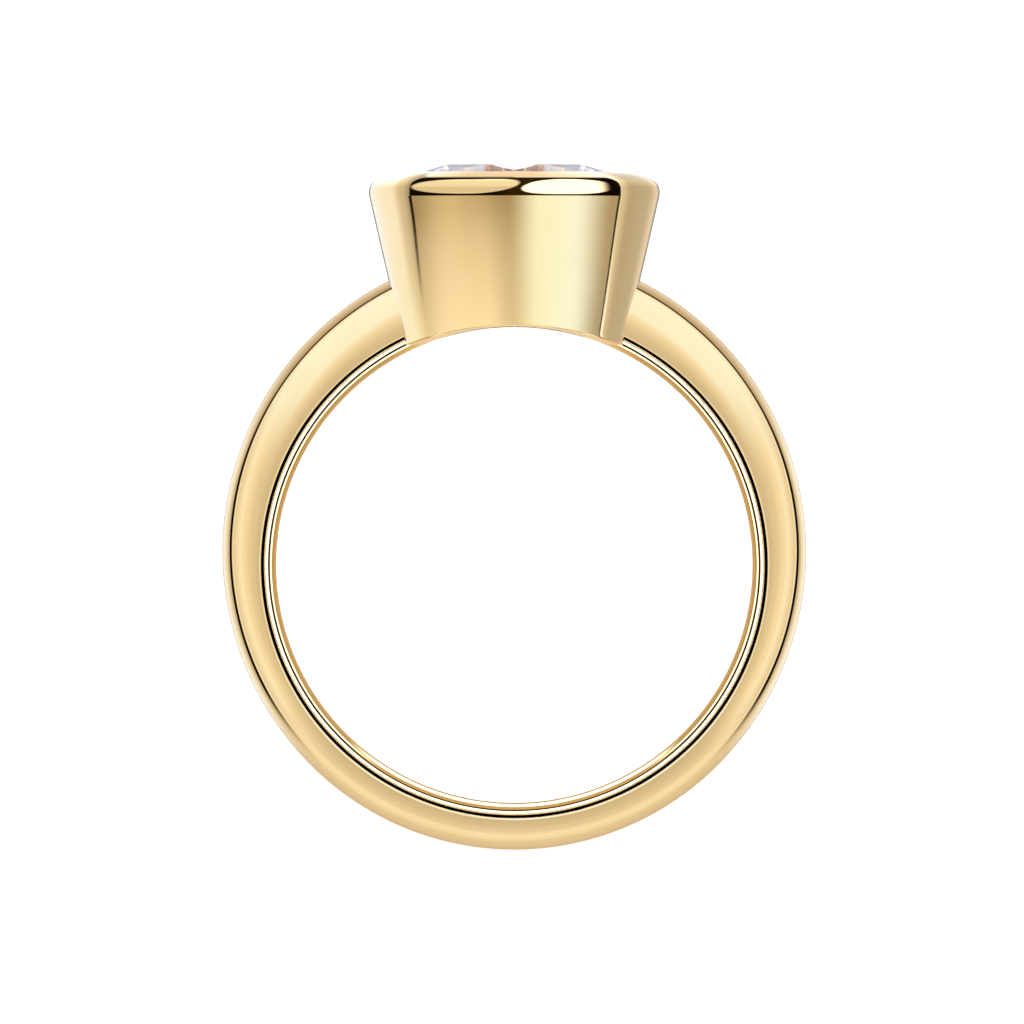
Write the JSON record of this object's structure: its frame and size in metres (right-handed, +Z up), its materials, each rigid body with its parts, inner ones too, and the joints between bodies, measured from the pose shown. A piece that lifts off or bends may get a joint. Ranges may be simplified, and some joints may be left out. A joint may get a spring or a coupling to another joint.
{
  "type": "bezel set ring",
  "caption": "Finger ring with a half-round band and a tapered round bezel that holds a round brilliant-cut stone, lying on its side.",
  "frame": {"origin": "on the surface that the ring lies on, under the middle of its box", "axes": "+Y from the palm end of the band towards the head, +Z up; the finger hole's axis leans 10.3 degrees from +Z towards -Y, because the ring rests on the rim of its head and on the palm end of its band"},
  "size_m": [0.0202, 0.0238, 0.0099],
  "materials": {
    "gold": null,
    "stone": "clear colourless faceted stone, polished"
  },
  "bodies": {
    "root": {"band_and_bezel": "gold", "stone": "stone"}
  },
  "joints": []
}
